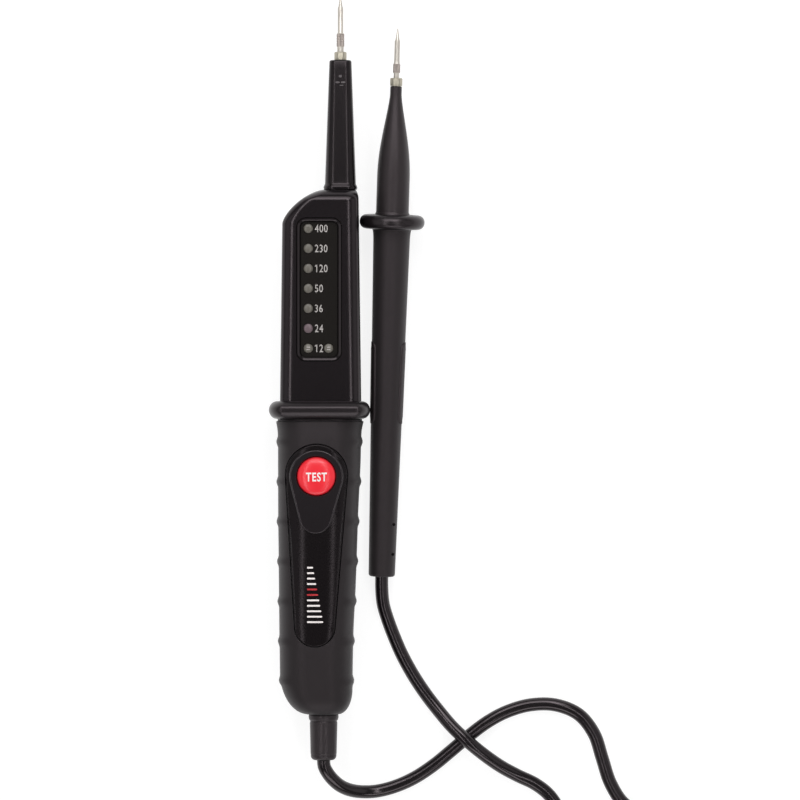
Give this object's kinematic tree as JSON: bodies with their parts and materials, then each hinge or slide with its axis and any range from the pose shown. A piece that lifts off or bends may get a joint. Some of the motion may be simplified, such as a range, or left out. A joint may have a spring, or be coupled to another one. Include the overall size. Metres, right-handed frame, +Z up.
{
  "type": "two-pole voltage tester",
  "caption": "Two-pole voltage tester with a lamp display, push button and fixed probe on a rubber grip, and a second probe in its own handle on a lead.",
  "frame": {"origin": "on the flat back of the finger guard, under its middle, where the tester lies on the table", "axes": "+Y along the tester towards its probe tips, +Z up through the button and the lamps, +X to the right seen from the front"},
  "size_m": [0.1768, 0.3623, 0.0296],
  "materials": {
    "gloss_housing": "glossy moulded ABS",
    "display_panel": "dark polycarbonate panel",
    "lamp": "diffused epoxy, unlit",
    "grip_rubber": "fine matt thermoplastic rubber",
    "handle_plastic": "matt moulded polyamide",
    "button_red": "glossy red",
    "nickel_pin": "nickel plate, turned",
    "brass": "turned brass",
    "board": "glass-fibre board with green varnish",
    "board_part": "moulded part",
    "chip_black": "moulded epoxy",
    "lead_pvc": "soft glossy cable sheath",
    "wire_pvc": "wire insulation"
  },
  "bodies": {
    "tester": {"front_shell": "gloss_housing", "rear_shell": "gloss_housing", "probe_sleeve": "gloss_housing", "window_frame": "gloss_housing", "grip_inlay": "gloss_housing", "button_island": "gloss_housing", "display_panel": "display_panel", "lamps": "lamp", "finger_guard": "grip_rubber", "grip_sleeve": "grip_rubber", "coil_tie": "grip_rubber", "cable_clamp": "handle_plastic", "probe_pin": "nickel_pin", "housing_screws": "nickel_pin", "pin_collar": "brass", "pin_clip": "brass", "circuit_board": "board", "board_resistors": "board_part", "logic_chip": "chip_black", "switch_body": "chip_black", "strain_relief": "lead_pvc", "inner_lead": "lead_pvc", "lead_tester_side": "lead_pvc", "lead_coil": "lead_pvc", "lead_probe_side": "lead_pvc", "inner_wires": "wire_pvc"},
    "test_button": {"test_button": "button_red"},
    "switch_plunger": {"switch_plunger": "board_part"},
    "second_probe": {"second_side_pads": "grip_rubber", "second_nose": "handle_plastic", "second_guard_disc": "handle_plastic", "second_handle": "handle_plastic", "second_pin": "nickel_pin", "second_pin_collar": "brass", "second_contact_rod": "brass", "second_inner_lead": "lead_pvc", "second_end_bush": "lead_pvc"}
  },
  "joints": [
    {"name": "button_press", "type": "slide", "parent": "tester", "child": "test_button", "axis": [0, 0, -1], "range_m": [0, 0.0008], "stiffness_N_per_m": 800},
    {"name": "plunger_press", "type": "slide", "parent": "tester", "child": "switch_plunger", "axis": [0, 0, -1], "range_m": [0, 0.0008]},
    {"name": "second_lift", "type": "slide", "parent": "tester", "child": "second_probe", "axis": [0, 0, 1], "range_m": [0, 0.06]}
  ],
  "couplings": [
    {"joint": "plunger_press", "follows": "button_press", "ratio": 1}
  ]
}
